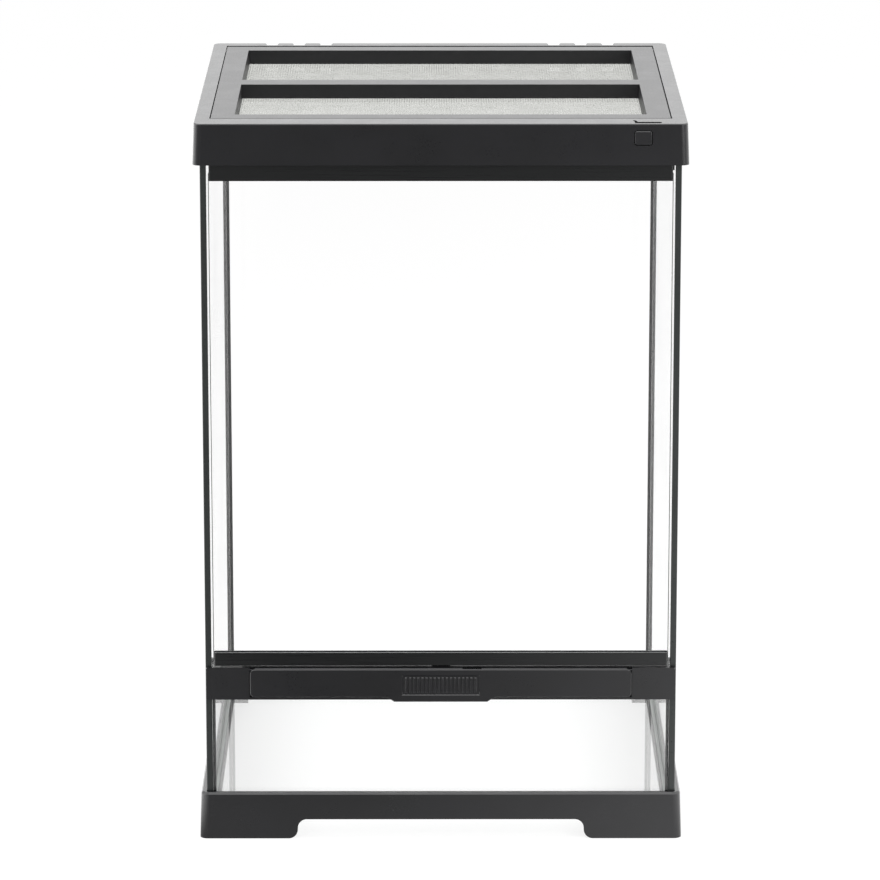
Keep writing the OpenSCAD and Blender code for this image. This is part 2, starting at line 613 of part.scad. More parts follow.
module lid_screws() color(c_steel) for (x = screw_xs, y = screw_ys()) difference() {
  union() {
    rod_z([x, y, lid_z0 + 0.1], screw_head_r, 1.3);
    rod_z([x, y, lid_z0 + 1.3], screw_r, 6.6);
  }
  span([x - 1.6, y - 0.3, lid_z0 - cut], [x + 1.6, y + 0.3, lid_z0 + 0.8]);
  span([x - 0.3, y - 1.6, lid_z0 - cut], [x + 0.3, y + 1.6, lid_z0 + 0.8]);
}

module lid_pin(s) color(c_steel)
  rod_x([s > 0 ? lid_x - lid_pin_in + 0.1 : -lid_x - lid_gap - 5, lid_axis_y, lid_axis_z], lid_pin_r, lid_pin_in + lid_gap + 4.9);

module lid_pin_left() lid_pin(-1);
module lid_pin_right() lid_pin(1);

module lid_latch_button() color(c_frame) {
  y_face = -hd - out_low + 0.3;
  translate([button_x, 0, button_z]) {
    along_y(y_face, skirt_in_y + 1.8) rounded(button_w - 2 * button_gap, button_h - 2 * button_gap, 1.4);
    along_y(skirt_in_y + 0.4, skirt_in_y + 1.8) rounded(button_w + 3, button_h + 1.2, 1.4);
  }
  rod_y([button_x, skirt_in_y + 1.8 - eps, button_z], 2.4, box_back_y - skirt_in_y - 1.8 - button_travel - 1.1);
}

module lid_button_spring() color(c_steel)
  translate([button_x, skirt_in_y + 1.9, button_z]) rotate([-90, 0, 0])
    coil(3.5, 0.4, 6, box_back_y - skirt_in_y - 1.9 - 0.9);

// Leaf on the housing's back wall, with a nose that reaches into the cover's front edge
module lid_catch() color(c_steel) {
  span([button_x - 3, box_back_y - 0.6, total_h - 22], [button_x + 3, box_back_y, total_h - 6.8]);
  span([button_x - 3, box_back_y - 0.6, total_h - 9.4], [button_x + 3, lid_y0 + 0.9, total_h - 6.8]);
}

base_frame();
bottom_pane();
back_pane();
left_pane();
right_pane();
front_lower_pane();
silicone_rear_left();
silicone_rear_right();
silicone_front_left();
silicone_front_right();
silicone_floor();
vent_bar();
vent_grille();
hinge_bracket();
latch_pivot_rod();
latch_plate();
latch_spring();
latch_catch();
door_pane();
door_top_rail();
door_bottom_rail();
door_pin_top();
door_pin_bottom();
top_frame();
cable_gate_left();
cable_gate_right();
lid_frame();
lid_mesh_front();
lid_mesh_rear();
lid_mesh_retainer();
lid_screws();
lid_pin_left();
lid_pin_right();
lid_latch_button();
lid_button_spring();
lid_catch();
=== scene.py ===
import math

import bmesh
import bpy
from mathutils import Matrix, Vector, noise


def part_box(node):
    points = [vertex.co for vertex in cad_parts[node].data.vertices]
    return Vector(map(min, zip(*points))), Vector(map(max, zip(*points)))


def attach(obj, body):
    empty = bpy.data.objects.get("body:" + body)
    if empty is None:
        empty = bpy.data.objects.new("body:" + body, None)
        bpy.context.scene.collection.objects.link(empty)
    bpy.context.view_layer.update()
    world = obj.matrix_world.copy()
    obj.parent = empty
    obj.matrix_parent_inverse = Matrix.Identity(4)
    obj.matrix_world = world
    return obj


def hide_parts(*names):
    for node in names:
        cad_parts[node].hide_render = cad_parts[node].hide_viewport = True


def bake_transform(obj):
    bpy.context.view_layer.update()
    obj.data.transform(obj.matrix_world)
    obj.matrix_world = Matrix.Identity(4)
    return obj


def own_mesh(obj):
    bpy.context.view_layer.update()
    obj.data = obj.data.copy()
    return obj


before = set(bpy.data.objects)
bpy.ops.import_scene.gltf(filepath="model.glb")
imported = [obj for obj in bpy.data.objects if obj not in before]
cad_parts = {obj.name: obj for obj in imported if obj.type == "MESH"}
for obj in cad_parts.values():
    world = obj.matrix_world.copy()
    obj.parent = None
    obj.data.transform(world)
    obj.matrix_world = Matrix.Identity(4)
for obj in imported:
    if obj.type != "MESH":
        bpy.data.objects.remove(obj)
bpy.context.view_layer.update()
scene = bpy.context.scene

# ---------------------------------------------------------------- camera
# A long lens three metres away, half a metre above the tank's top and tipped
# down, so that the front is seen almost straight on and the cover at a low angle.
lens_mm, sensor_mm = 201.57, 36
lens_place = (-0.00622, -3.16315, 1.01126)
tipped_down, rolled = 0.2436, -0.0019
sees_as_far_as = 30
camera = bpy.data.objects.new("camera", bpy.data.cameras.new("camera"))
scene.collection.objects.link(camera)
camera.data.lens = lens_mm
camera.data.sensor_width = sensor_mm
camera.data.clip_end = sees_as_far_as
camera.location = lens_place
camera.rotation_euler = (math.pi / 2 - tipped_down, 0, rolled)
scene.camera = camera
scene.view_settings.view_transform = "Standard"


# ---------------------------------------------------------------- studio
# White cove: the backdrop is plain white to the eye and through the glass.
# Polished faces see a broad bright wall behind the tank, a lit right wall and
# ceiling and a dim room in front, as on a product table with a lit background.
def linear(code):
    """Linear colour of an sRGB hex value such as #1b1b1c."""
    parts = [int(code[i : i + 2], 16) / 255 for i in (1, 3, 5)]
    curve = [p / 12.92 if p <= 0.04045 else ((p + 0.055) / 1.055) ** 2.4 for p in parts]
    return (*curve, 1)


def add(tree, kind, inputs=None, **settings):
    """A new shader node with its settings, its values and its incoming links."""
    made = tree.nodes.new(kind)
    for key, value in settings.items():
        setattr(made, key, value)
    for key, value in (inputs or {}).items():
        if isinstance(value, bpy.types.NodeSocket):
            tree.links.new(value, made.inputs[key])
        else:
            made.inputs[key].default_value = value
    return made


def remap(tree, value, source, target, curve="LINEAR"):
    """A node that carries a value from one range, low to high, over to another."""
    ends = {"From Min": source[0], "From Max": source[1], "To Min": target[0], "To Max": target[1]}
    return add(tree, "ShaderNodeMapRange", {"Value": value, **ends}, interpolation_type=curve)


def calc(tree, operation, *values):
    """A node for one step of arithmetic."""
    return add(tree, "ShaderNodeMath", dict(enumerate(values)), operation=operation)


def either(tree, factor, first, second):
    """A node that shows the first shader where the factor is 0 and the second where it is 1."""
    return add(tree, "ShaderNodeMixShader", {0: factor, 1: first, 2: second})


def material(name):
    """A new material with an empty node tree, and that tree."""
    made = bpy.data.materials.new(name)
    made.use_nodes = True
    made.node_tree.nodes.clear()
    return made, made.node_tree


world = bpy.data.worlds.new("white_cove")
scene.world = world
world.use_nodes = True
sky = world.node_tree
sky.nodes.clear()
rays = add(sky, "ShaderNodeLightPath")
direction = add(sky, "ShaderNodeTexCoord").outputs["Generated"]
towards = add(sky, "ShaderNodeSeparateXYZ", {"Vector": direction})
behind = remap(sky, towards.outputs["Y"], (-0.75, 0.95), (0.07, 1.82), "SMOOTHSTEP")
right_wall = remap(sky, towards.outputs["X"], (0.1, 0.95), (0.0, 0.35), "SMOOTHSTEP")
ceiling = remap(sky, towards.outputs["Z"], (0.35, 0.8), (0.0, 2.2), "SMOOTHSTEP")
walls = calc(sky, "ADD", behind.outputs[0], right_wall.outputs[0])
room = calc(sky, "ADD", walls.outputs[0], ceiling.outputs[0])
white = linear("#ffffff")
seen = add(sky, "ShaderNodeBackground", {"Color": white, "Strength": 1.0})
mirrored = add(sky, "ShaderNodeBackground", {"Color": white, "Strength": room.outputs[0]})
ambient = add(sky, "ShaderNodeBackground", {"Color": white, "Strength": 0.55})
camera_ray, glass_ray = rays.outputs["Is Camera Ray"], rays.outputs["Is Transmission Ray"]
eye = calc(sky, "MAXIMUM", camera_ray, glass_ray)
glossy_ray = rays.outputs["Is Glossy Ray"]
unseen = either(sky, glossy_ray, ambient.outputs[0], mirrored.outputs[0])
cove = either(sky, eye.outputs[0], unseen.outputs[0], seen.outputs[0])
add(sky, "ShaderNodeOutputWorld", {"Surface": cove.outputs[0]})

for name, place, aim, width, height, watts in (
    ("overhead_softbox", (-0.25, 0.1, 1.75), (0, 0, 0.2), 1.6, 1.6, 10),
    ("right_softbox", (0.85, -0.95, 0.62), (0.25, -0.5, 0), 0.55, 0.55, 4.5),
    ("left_softbox", (-1.3, -0.35, 0.7), (0, 0, 0.2), 0.6, 0.9, 3),
    ("front_high_softbox", (0.1, -1.6, 1.7), (0, -0.15, 0.1), 1.3, 0.5, 6),
):
    lamp = bpy.data.objects.new(name, bpy.data.lights.new(name, "AREA"))
    scene.collection.objects.link(lamp)
    lamp.data.shape = "RECTANGLE"
    lamp.data.size, lamp.data.size_y = width, height
    lamp.data.energy = watts
    lamp.location = place
    lamp.rotation_euler = (Vector(aim) - Vector(place)).to_track_quat("-Z", "Y").to_euler()
    lamp.visible_camera = False
    lamp.visible_transmission = False

# Floor: matt white card. The eye sees it plain white with the soft shadow on it,
# and painted shade makes it a little greyer inside the tank along its sides.
# Polished faces see painted reflections on it: bright to the left and right of
# the tank, dim in front of its left half, and falling off towards the front.
floor_size, floor_drop = 6, 0.0002
floor_bm = bmesh.new()
bmesh.ops.create_grid(floor_bm, x_segments=1, y_segments=1, size=floor_size)
floor_mesh = bpy.data.meshes.new("floor")
floor_bm.to_mesh(floor_mesh)
floor_bm.free()
floor = bpy.data.objects.new("floor", floor_mesh)
scene.collection.objects.link(floor)
floor.location.z = -floor_drop
card, tree = material("matt_white_card")
paper = add(tree, "ShaderNodeBsdfDiffuse", {"Color": linear("#e6e6e6")})
place = add(tree, "ShaderNodeTexCoord").outputs["Object"]
at = add(tree, "ShaderNodeSeparateXYZ", {"Vector": place})
sideways = calc(tree, "ABSOLUTE", at.outputs["X"])
lengthways = calc(tree, "ABSOLUTE", at.outputs["Y"])

# What the eye sees: a flat glow, lowered by painted shade inside the glass box
# towards its sides, and the part that shadows can darken.
half_box, card_glow, painted_shade_depth = 0.15, 0.86, -0.22
shadow_share = (0.24, 0.24, 0.24, 1)
# painted shade: the glow falls off towards the box's sides, inside the box only
painted_edge_falloff = remap(tree, sideways.outputs[0], (0.07, half_box), (0.0, painted_shade_depth), "SMOOTHSTEP")
inside = calc(tree, "LESS_THAN", lengthways.outputs[0], half_box)
shade = calc(tree, "MULTIPLY_ADD", painted_edge_falloff.outputs[0], inside.outputs[0], card_glow)
beside = calc(tree, "GREATER_THAN", sideways.outputs[0], half_box)
level = add(
    tree, "ShaderNodeMix", {"Factor": beside.outputs[0], "A": shade.outputs[0], "B": card_glow}
)
glow = add(tree, "ShaderNodeEmission", {"Color": white, "Strength": level.outputs["Result"]})
thin = add(tree, "ShaderNodeBsdfDiffuse", {"Color": shadow_share})
lit = add(tree, "ShaderNodeAddShader", {0: glow.outputs[0], 1: thin.outputs[0]})

# What polished faces see: a painted glow in levels across the tank, left to right,
# that falls off towards the front, and one more painted pool of light at the left.
near = remap(tree, at.outputs["Y"], (-0.5, -0.2), (0.1, 0.66), "SMOOTHSTEP")
far = remap(tree, at.outputs["Y"], (-2.0, -0.5), (0.3, 1.0), "SMOOTHSTEP")
across = remap(tree, at.outputs["X"], (-1.0, 1.0), (0.0, 1.0))
profile = add(tree, "ShaderNodeValToRGB", {"Fac": across.outputs[0]})
steps = (
    (-1.0, 0.9),
    (-0.5, 1.0),
    (-0.26, 0.8),
    (-0.165, 0.1),
    (-0.1, 0.05),
    (0.0, 0.2),
    (0.12, 0.75),
    (0.18, 1.0),
    (0.3, 2.2),
    (0.6, 1.6),
    (1.0, 1.2),
)
brightest = 2.5
while len(profile.color_ramp.elements) < len(steps):
    profile.color_ramp.elements.new(0.5)
for stop, (x, strength) in zip(profile.color_ramp.elements, steps):
    stop.position = (x + 1) / 2
    stop.color = (strength / brightest,) * 3 + (1,)
slope = calc(tree, "MULTIPLY", profile.outputs["Color"], far.outputs[0])
painted_light_pools = calc(tree, "MULTIPLY_ADD", slope.outputs[0], brightest, near.outputs[0])
left = remap(tree, at.outputs["X"], (-0.26, -0.16), (3.2, 0.0), "SMOOTHSTEP")
painted_reflection_strength = calc(tree, "MULTIPLY_ADD", left.outputs[0], near.outputs[0], painted_light_pools.outputs[0])
# painted reflection: the card glows for polished faces, though it is no lamp
shine = add(tree, "ShaderNodeEmission", {"Color": white, "Strength": painted_reflection_strength.outputs[0]})

# From below the card is open, so that the underside of the tank can be seen.
rays = add(tree, "ShaderNodeLightPath")
camera_ray, glass_ray = rays.outputs["Is Camera Ray"], rays.outputs["Is Transmission Ray"]
eye = calc(tree, "MAXIMUM", camera_ray, glass_ray)
glossy_ray = rays.outputs["Is Glossy Ray"]
plain = either(tree, glossy_ray, paper.outputs[0], shine.outputs[0])
mixed = either(tree, eye.outputs[0], plain.outputs[0], lit.outputs[0])
below = add(tree, "ShaderNodeNewGeometry").outputs["Backfacing"]
open_card = add(tree, "ShaderNodeBsdfTransparent")
sheet = either(tree, below, mixed.outputs[0], open_card.outputs[0])
add(tree, "ShaderNodeOutputMaterial", {"Surface": sheet.outputs[0]})
floor_mesh.materials.append(card)

# ---------------------------------------------------------------- base frame
# One injection moulding in black ABS with four hollow corner feet and a raised
# skirt between them. The glass box stands in its pocket.
base_rim_radius = 0.0008
noise_span = (0.3, 0.7)  # where nearly all of a noise's values lie


def mottle(tree, at, size_mm, detail, roughness=0.5):
    """A noise whose patches are about so many millimetres across."""
    values = {"Vector": at, "Scale": 1000 / size_mm, "Detail": detail, "Roughness": roughness}
    return add(tree, "ShaderNodeTexNoise", values)


def bump(tree, height, strength, depth, **under):
    """Fine relief from a height, on top of another relief where one is given as Normal."""
    values = {"Height": height, "Strength": strength, "Distance": depth, **under}
    return add(tree, "ShaderNodeBump", values)


def shades(tree, factor, low, high):
    """Two sRGB colours mixed by a factor."""
    values = {"Factor": factor, "A": linear(low), "B": linear(high)}
    return add(tree, "ShaderNodeMix", values, data_type="RGBA")


def satin(name, low, high, smooth, rough, grain_mm):
    """Injection-moulded ABS: a fine spark-eroded grain, faint flow and rubbed patches."""
    flow_mm, rub_mm = 45, 18
    made, tree = material(name)
    at = add(tree, "ShaderNodeTexCoord").outputs["Object"]
    grain = mottle(tree, at, size_mm=grain_mm, detail=2.0, roughness=0.55)
    flow = mottle(tree, at, size_mm=flow_mm, detail=3.0)
    rub = mottle(tree, at, size_mm=rub_mm, detail=4.0, roughness=0.62)
    tint = remap(tree, flow.outputs[0], noise_span, (0.0, 1.0))
    shade = shades(tree, tint.outputs[0], low, high)
    matt = remap(tree, grain.outputs[0], noise_span, (smooth, rough))
    rubbed = remap(tree, rub.outputs[0], (0.45, 0.75), (0.0, -0.04))
    finish = calc(tree, "ADD", matt.outputs[0], rubbed.outputs[0])
    relief = bump(tree, grain.outputs[0], strength=0.12, depth=0.0001)
    sink = bump(tree, flow.outputs[0], strength=0.06, depth=0.0005, Normal=relief.outputs[0])
    skin = add(
        tree,
        "ShaderNodeBsdfPrincipled",
        {
            "Base Color": shade.outputs["Result"],
            "Roughness": finish.outputs[0],
            "IOR": 1.52,
            "Normal": sink.outputs[0],
        },
    )
    add(tree, "ShaderNodeOutputMaterial", {"Surface": skin.outputs[0]})
    return made


# Black ABS with a fine satin grain: even and soft, with a shine that brightens
# where the light grazes it. The real grain is about 0.3 mm, drawn coarser.
satin_abs = satin(
    "moulded_abs_satin_black", "#161618", "#1b1b1e", smooth=0.29, rough=0.37, grain_mm=0.8
)


def finish_piece(name, mesh, node, body, slot, *finishes):
    """The new object with its finishes, in place of a CAD piece and riding on its body."""
    piece = bpy.data.objects.new(name, mesh)
    scene.collection.objects.link(piece)
    for finish in finishes:
        mesh.materials.append(finish)
    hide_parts(node)
    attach(piece, body)
    return piece


# The CAD's triangles are joined where they meet, and merged into one face where
# they lie flat. Faces that turn by less than the crease are shaded as a curve.
same_point, flat, crease = 2e-6, math.radians(0.8), math.radians(28)


def cad_skin(node):
    """The skin of a CAD piece, its triangles joined."""
    bm = bmesh.new()
    bm.from_mesh(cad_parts[node].data)
    bmesh.ops.remove_doubles(bm, verts=bm.verts, dist=same_point)
    return bm


def merge_flat(bm):
    """One face wherever the triangles lie flat."""
    bmesh.ops.dissolve_limit(bm, angle_limit=flat, verts=bm.verts, edges=bm.edges)


def finished(bm, name, sharp):
    """The mesh of a finished skin, with sharp edges where it turns by more than an angle."""
    mesh = bpy.data.meshes.new(name)
    bm.to_mesh(mesh)
    bm.free()
    mesh.set_sharp_from_angle(angle=sharp)
    return mesh


def moulded(node, name, body, slot, finish, radius, segments=2, shape=None):
    """A finished copy of a CAD piece: one closed skin, flat faces cleaned up, edges rounded."""
    bm = cad_skin(node)
    merge_flat(bm)
    if shape:
        shape(bm)
    for face in bm.faces:
        face.smooth, face.material_index = True, 0
    piece = finish_piece(name, finished(bm, name, crease), node, body, slot, finish)
    rounding = piece.modifiers.new("edge_radius", "BEVEL")
    rounding.width = radius
    rounding.segments = segments
    rounding.profile = 0.5
    rounding.limit_method = "ANGLE"
    rounding.angle_limit = crease
    rounding.use_clamp_overlap = True
    even = piece.modifiers.new("even_shading", "WEIGHTED_NORMAL")
    even.mode = "FACE_AREA"
    even.keep_sharp = True
    return piece


moulded(
    "base_frame", "base_moulding", "tank", "frame", satin_abs, radius=base_rim_radius, segments=3
)

# ---------------------------------------------------------------- glass
# Six panes of 4 mm clear float glass with seamed edges. The broad faces are
# clear; the cut edges are ground, and look dark grey end on.
arris = 0.00035
pane_gap = 0.00003  # keeps each pane's faces just off the mouldings' faces
light_kept = (0.975, 0.985, 0.98, 1)  # what the lamps' light keeps at each face
square_on = 0.99  # how nearly a face looks along an axis to count as square to it


def float_glass(name, ior):
    """Clear float glass, almost without ripple: only its reflections and its edges show."""
    made, tree = material(name)
    at = add(tree, "ShaderNodeTexCoord").outputs["Object"]
    ripple = mottle(tree, at, size_mm=120, detail=1.0)
    wave = bump(tree, ripple.outputs[0], strength=0.04, depth=0.0004)
    sheen = add(
        tree,
        "ShaderNodeBsdfPrincipled",
        {
            "Base Color": (1, 1, 1, 1),
            "Roughness": 0.0,
            "IOR": ior,
            "Transmission Weight": 1.0,
            "Normal": wave.outputs[0],
        },
    )
    open_path = add(tree, "ShaderNodeBsdfTransparent", {"Color": light_kept})
    rays = add(tree, "ShaderNodeLightPath")
    shadow_ray, diffuse_ray = rays.outputs["Is Shadow Ray"], rays.outputs["Is Diffuse Ray"]
    light = calc(tree, "MAXIMUM", shadow_ray, diffuse_ray)
    mixed = either(tree, light.outputs[0], sheen.outputs[0], open_path.outputs[0])
    add(tree, "ShaderNodeOutputMaterial", {"Surface": mixed.outputs[0]})
    return made


clear_glass = float_glass("clear_float_glass", ior=1.46)
# The rear pane hardly mirrors the front of the tank, so its sheen is set lower.
rear_glass = float_glass("clear_float_glass_rear", ior=1.2)

# Stone-ground edge: matt, with fine grinding marks, and dark because it looks
# along the inside of the pane.
ground_edge, tree = material("ground_glass_edge")
at = add(tree, "ShaderNodeTexCoord").outputs["Object"]
stone = mottle(tree, at, size_mm=1.5, detail=2.0)
depth = mottle(tree, at, size_mm=60, detail=2.0)
tone = shades(tree, depth.outputs[0], "#1e2221", "#2f3332")
rough = remap(tree, stone.outputs[0], noise_span, (0.25, 0.45))
marks = bump(tree, stone.outputs[0], strength=0.15, depth=0.0001)
end_on = add(
    tree,
    "ShaderNodeBsdfPrincipled",
    {
        "Base Color": tone.outputs["Result"],
        "Roughness": rough.outputs[0],
        "IOR": 1.5,
        "Normal": marks.outputs[0],
    },
)
add(tree, "ShaderNodeOutputMaterial", {"Surface": end_on.outputs[0]})


def chamfer(bm, edges, size):
    """A flat chamfer along some edges."""
    bmesh.ops.bevel(
        bm,
        geom=edges,
        offset=size,
        offset_type="OFFSET",
        segments=1,
        profile=0.5,
        affect="EDGES",
        material=-1,
    )
    bm.normal_update()


def pane(node, name, body, thin_axis, glass=clear_glass):
    """A pane with a seamed arris all round, its clear and its ground faces told apart."""
    low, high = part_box(node)
    inset = Vector((pane_gap,) * 3)
    low, high = low + inset, high - inset
    bm = bmesh.new()
    bmesh.ops.create_cube(bm, size=1)
    bmesh.ops.scale(bm, vec=high - low, verts=bm.verts)
    bmesh.ops.translate(bm, vec=(low + high) / 2, verts=bm.verts)
    chamfer(bm, bm.edges[:], arris)
    for face in bm.faces:
        face.material_index = 0 if abs(face.normal[thin_axis]) > square_on else 1
    mesh = bpy.data.meshes.new(name)
    bm.to_mesh(mesh)
    bm.free()
    return finish_piece(name, mesh, node, body, "glass", glass, ground_edge)


pane("bottom_pane", "floor_glass", "tank", thin_axis=2)
pane("back_pane", "rear_glass", "tank", thin_axis=1, glass=rear_glass)
pane("left_pane", "left_glass", "tank", thin_axis=0)
pane("right_pane", "right_glass", "tank", thin_axis=0)
pane("front_lower_pane", "lower_front_glass", "tank", thin_axis=1)
pane("door_pane", "door_glass", "door", thin_axis=1)

# ---------------------------------------------------------------- sealant
# Silicone, gunned into the inner corners and drawn off with a tool, which
# leaves a fillet that wavers a little along its length.
tool_step = 0.008
waver, waver_rate, other_waver = 0.00018, 55, Vector((3, 7, 1))
on_glass = 0.0002
on_plane = 1e-7
bead_crease = math.radians(40)


def sealant(name, low, high):
    """Cured silicone: rubbery, softly shiny, with drag marks from the tool."""
    made, tree = material(name)
    at = add(tree, "ShaderNodeTexCoord").outputs["Object"]
    tooling = mottle(tree, at, size_mm=9, detail=2.0)
    cure = shades(tree, tooling.outputs[0], low, high)
    gloss = remap(tree, tooling.outputs[0], noise_span, (0.30, 0.48))
    drag = bump(tree, tooling.outputs[0], strength=0.3, depth=0.0004)
    gum = add(
        tree,
        "ShaderNodeBsdfPrincipled",
        {
            "Base Color": cure.outputs["Result"],
            "Roughness": gloss.outputs[0],
            "IOR": 1.41,
            "Normal": drag.outputs[0],
        },
    )
    add(tree, "ShaderNodeOutputMaterial", {"Surface": gum.outputs[0]})
    return made


# Black in the upright corners, and a thin translucent grey round the floor,
# where it is drawn off almost flat.
black_silicone = sealant("black_silicone_sealant", "#181919", "#262727")
grey_silicone = sealant("grey_silicone_sealant", "#a3a6a4", "#b3b5b4")


def cut(bm, parts, place, across):
    """New edges where a plane crosses some parts of a mesh."""
    bmesh.ops.bisect_plane(bm, geom=parts, plane_co=place, plane_no=across, dist=on_plane)


def bead(node, name, along, silicone=black_silicone):
    """A tooled fillet: the CAD bead cut across every few millimetres and let waver."""
    bm = cad_skin(node)
    merge_flat(bm)
    low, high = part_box(node)
    for axis in along:
        for i in range(1, int((high[axis] - low[axis]) / tool_step)):
            spot = Vector(low)
            spot[axis] += i * tool_step
            across = Vector((0, 0, 0))
            across[axis] = 1
            cut(bm, bm.verts[:] + bm.edges[:] + bm.faces[:], spot, across)
    for vert in bm.verts:
        # only the face of the fillet wavers: points on the glass stay on it
        off_glass = min(min(vert.co[k] - low[k], high[k] - vert.co[k]) for k in range(3))
        if off_glass > on_glass:
            spot = vert.co * waver_rate
            vert.co += Vector((noise.noise(spot), noise.noise(spot + other_waver), 0)) * waver
    for face in bm.faces:
        face.smooth = True
    mesh = finished(bm, name, bead_crease)
    return finish_piece(name, mesh, node, "tank", "sealant", silicone)


bead("silicone_rear_left", "rear_left_bead", along=(2,))
bead("silicone_rear_right", "rear_right_bead", along=(2,))
bead("silicone_front_left", "front_left_bead", along=(2,))
bead("silicone_front_right", "front_right_bead", along=(2,))
bead("silicone_floor", "floor_bead", along=(0, 1), silicone=grey_silicone)

# ---------------------------------------------------------------- vent bar
# Moulded bar that caps the lower pane, with air slots behind the latch plate
# and a seat for the door's hinge. Same satin ABS as the base.
moulded("vent_bar", "vent_bar_moulding", "tank", "frame", satin_abs, radius=0.0005, segments=3)

# ---------------------------------------------------------------- latch plate
# Long raised plate with a knuckle that turns on a steel rod. Its middle has a
# shallow sunk panel with upright grip ribs for a fingertip.
outline_chamfer = 0.00045
grip_half, grip_low, grip_high = 0.0248, 0.0956, 0.1090
grip_sunk, grip_slope = 0.0006, 0.0006
rib_step, rib_wide, rib_gap, rib_slope = 0.0026, 0.0017, 0.0009, 0.00045
rib_proud, rib_root = 0.00015, 0.0003
touching = 1e-6
plate_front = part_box("latch_plate")[0].y


def plate_faces(bm):
    """The faces that make up the plate's flat front."""
    flush = plate_front + touching
    return [f for f in bm.faces if f.normal.y < -square_on and f.calc_center_median().y < flush]


def in_panel(face):
    """Whether a face of the plate's front lies inside the grip panel's outline."""
    xs, zs = [v.co.x for v in face.verts], [v.co.z for v in face.verts]
    in_width = max(abs(x) for x in xs) < grip_half + touching
    return in_width and grip_low - touching < min(zs) and max(zs) < grip_high + touching


def front_face(bm):
    """The largest face that looks to the front."""
    return max(bm.faces, key=lambda f: f.calc_area() if f.normal.y < -square_on else 0)


def shape_plate(bm):
    """Chamfers the plate's outline, sinks the panel into its face and stands the ribs in it."""
    chamfer(bm, front_face(bm).edges[:], outline_chamfer)
    for place, across in (
        ((-grip_half, 0, 0), (1, 0, 0)),
        ((grip_half, 0, 0), (1, 0, 0)),
        ((0, 0, grip_low), (0, 0, 1)),
        ((0, 0, grip_high), (0, 0, 1)),
    ):
        front = plate_faces(bm)
        edges = dict.fromkeys(e for f in front for e in f.edges)
        verts = dict.fromkeys(v for f in front for v in f.verts)
        cut(bm, [*front, *edges, *verts], place, across)
    middle = [f for f in plate_faces(bm) if in_panel(f)]
    bmesh.ops.inset_region(
        bm, faces=middle, thickness=grip_slope, depth=-grip_sunk, use_even_offset=True
    )
    count = int((2 * (grip_half - grip_slope) - rib_gap) / rib_step)
    for i in range(count):
        x = (i - (count - 1) / 2) * rib_step
        low_z, high_z = grip_low + grip_slope + rib_gap, grip_high - grip_slope - rib_gap
        low = Vector((x - rib_wide / 2, plate_front - rib_proud, low_z))
        high = Vector((x + rib_wide / 2, plate_front + grip_sunk + rib_root, high_z))
        block = Matrix.Translation((low + high) / 2) @ Matrix.Diagonal((*(high - low), 1))
        rib = bmesh.ops.create_cube(bm, size=1, matrix=block)["verts"]
        edges = dict.fromkeys(e for v in rib for e in v.link_edges)
        top = [e for e in edges if all(v.co.y < low.y + touching for v in e.verts)]
        chamfer(bm, top, rib_slope)


moulded(
    "latch_plate",
    "latch_plate_moulding",
    "latch_plate",
    "frame",
    satin_abs,
    radius=0.00015,
    shape=shape_plate,
)

# ---------------------------------------------------------------- door rails
# Two extruded rails pressed onto the door glass, cut to length. They carry the
# hinge pins, and the lower one takes the tooth of the catch.

# Extruded rigid PVC: smoother and a shade darker than the mouldings, with very
# faint draw lines along its length.
drawn_pvc, tree = material("extruded_pvc_black")
at = add(tree, "ShaderNodeTexCoord").outputs["Object"]
stretch = add(tree, "ShaderNodeMapping", {"Vector": at, "Scale": (0.02, 1.0, 1.0)})
lines = mottle(tree, stretch.outputs[0], size_mm=0.7, detail=2.0)
batch = mottle(tree, at, size_mm=60, detail=2.0)
deep = shades(tree, batch.outputs[0], "#0a0c0d", "#101213")
polish = remap(tree, lines.outputs[0], noise_span, (0.26, 0.36))
draw = bump(tree, lines.outputs[0], strength=0.08, depth=0.0001)
rail_skin = add(
    tree,
    "ShaderNodeBsdfPrincipled",
    {
        "Base Color": deep.outputs["Result"],
        "Roughness": polish.outputs[0],
        "IOR": 1.5,
        "Normal": draw.outputs[0],
    },
)
add(tree, "ShaderNodeOutputMaterial", {"Surface": rail_skin.outputs[0]})

# Painted highlight: the front half of the lower rail's top is matt light grey,
# in place of the light line that the rail's top edge catches.
rail_top_painted_highlight, tree = material("rail_top_painted_highlight_grey")
at = add(tree, "ShaderNodeTexCoord").outputs["Object"]
bloom = mottle(tree, at, size_mm=12, detail=2.0)
pale = shades(tree, bloom.outputs[0], "#8e9090", "#a2a4a4")
dull = remap(tree, bloom.outputs[0], noise_span, (0.35, 0.45))
painted_highlight_skin = add(
    tree,
    "ShaderNodeBsdfPrincipled",
    {"Base Color": pale.outputs["Result"], "Roughness": dull.outputs[0], "IOR": 1.5},
)
add(tree, "ShaderNodeOutputMaterial", {"Surface": painted_highlight_skin.outputs[0]})

rail_low, rail_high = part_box("door_bottom_rail")
lower_rail = moulded(
    "door_bottom_rail", "door_bottom_rail_extrusion", "door", "frame", drawn_pvc, radius=0.00012
)
lower_rail.data.materials.append(rail_top_painted_highlight)
# the painted highlight goes on the front half of the rail's top
for side in lower_rail.data.polygons:
    on_top = side.normal.z > square_on and side.center.z > rail_high.z - touching
    if on_top and side.center.y < (rail_low.y + rail_high.y) / 2:
        side.material_index = 1
moulded("door_top_rail", "door_top_rail_extrusion", "door", "frame", drawn_pvc, radius=0.0002)

# ---------------------------------------------------------------- hinge bracket
# Grey bracket let into the bar under the door's hinge corner, with a boss round
# the pin and a stop boss beside it.

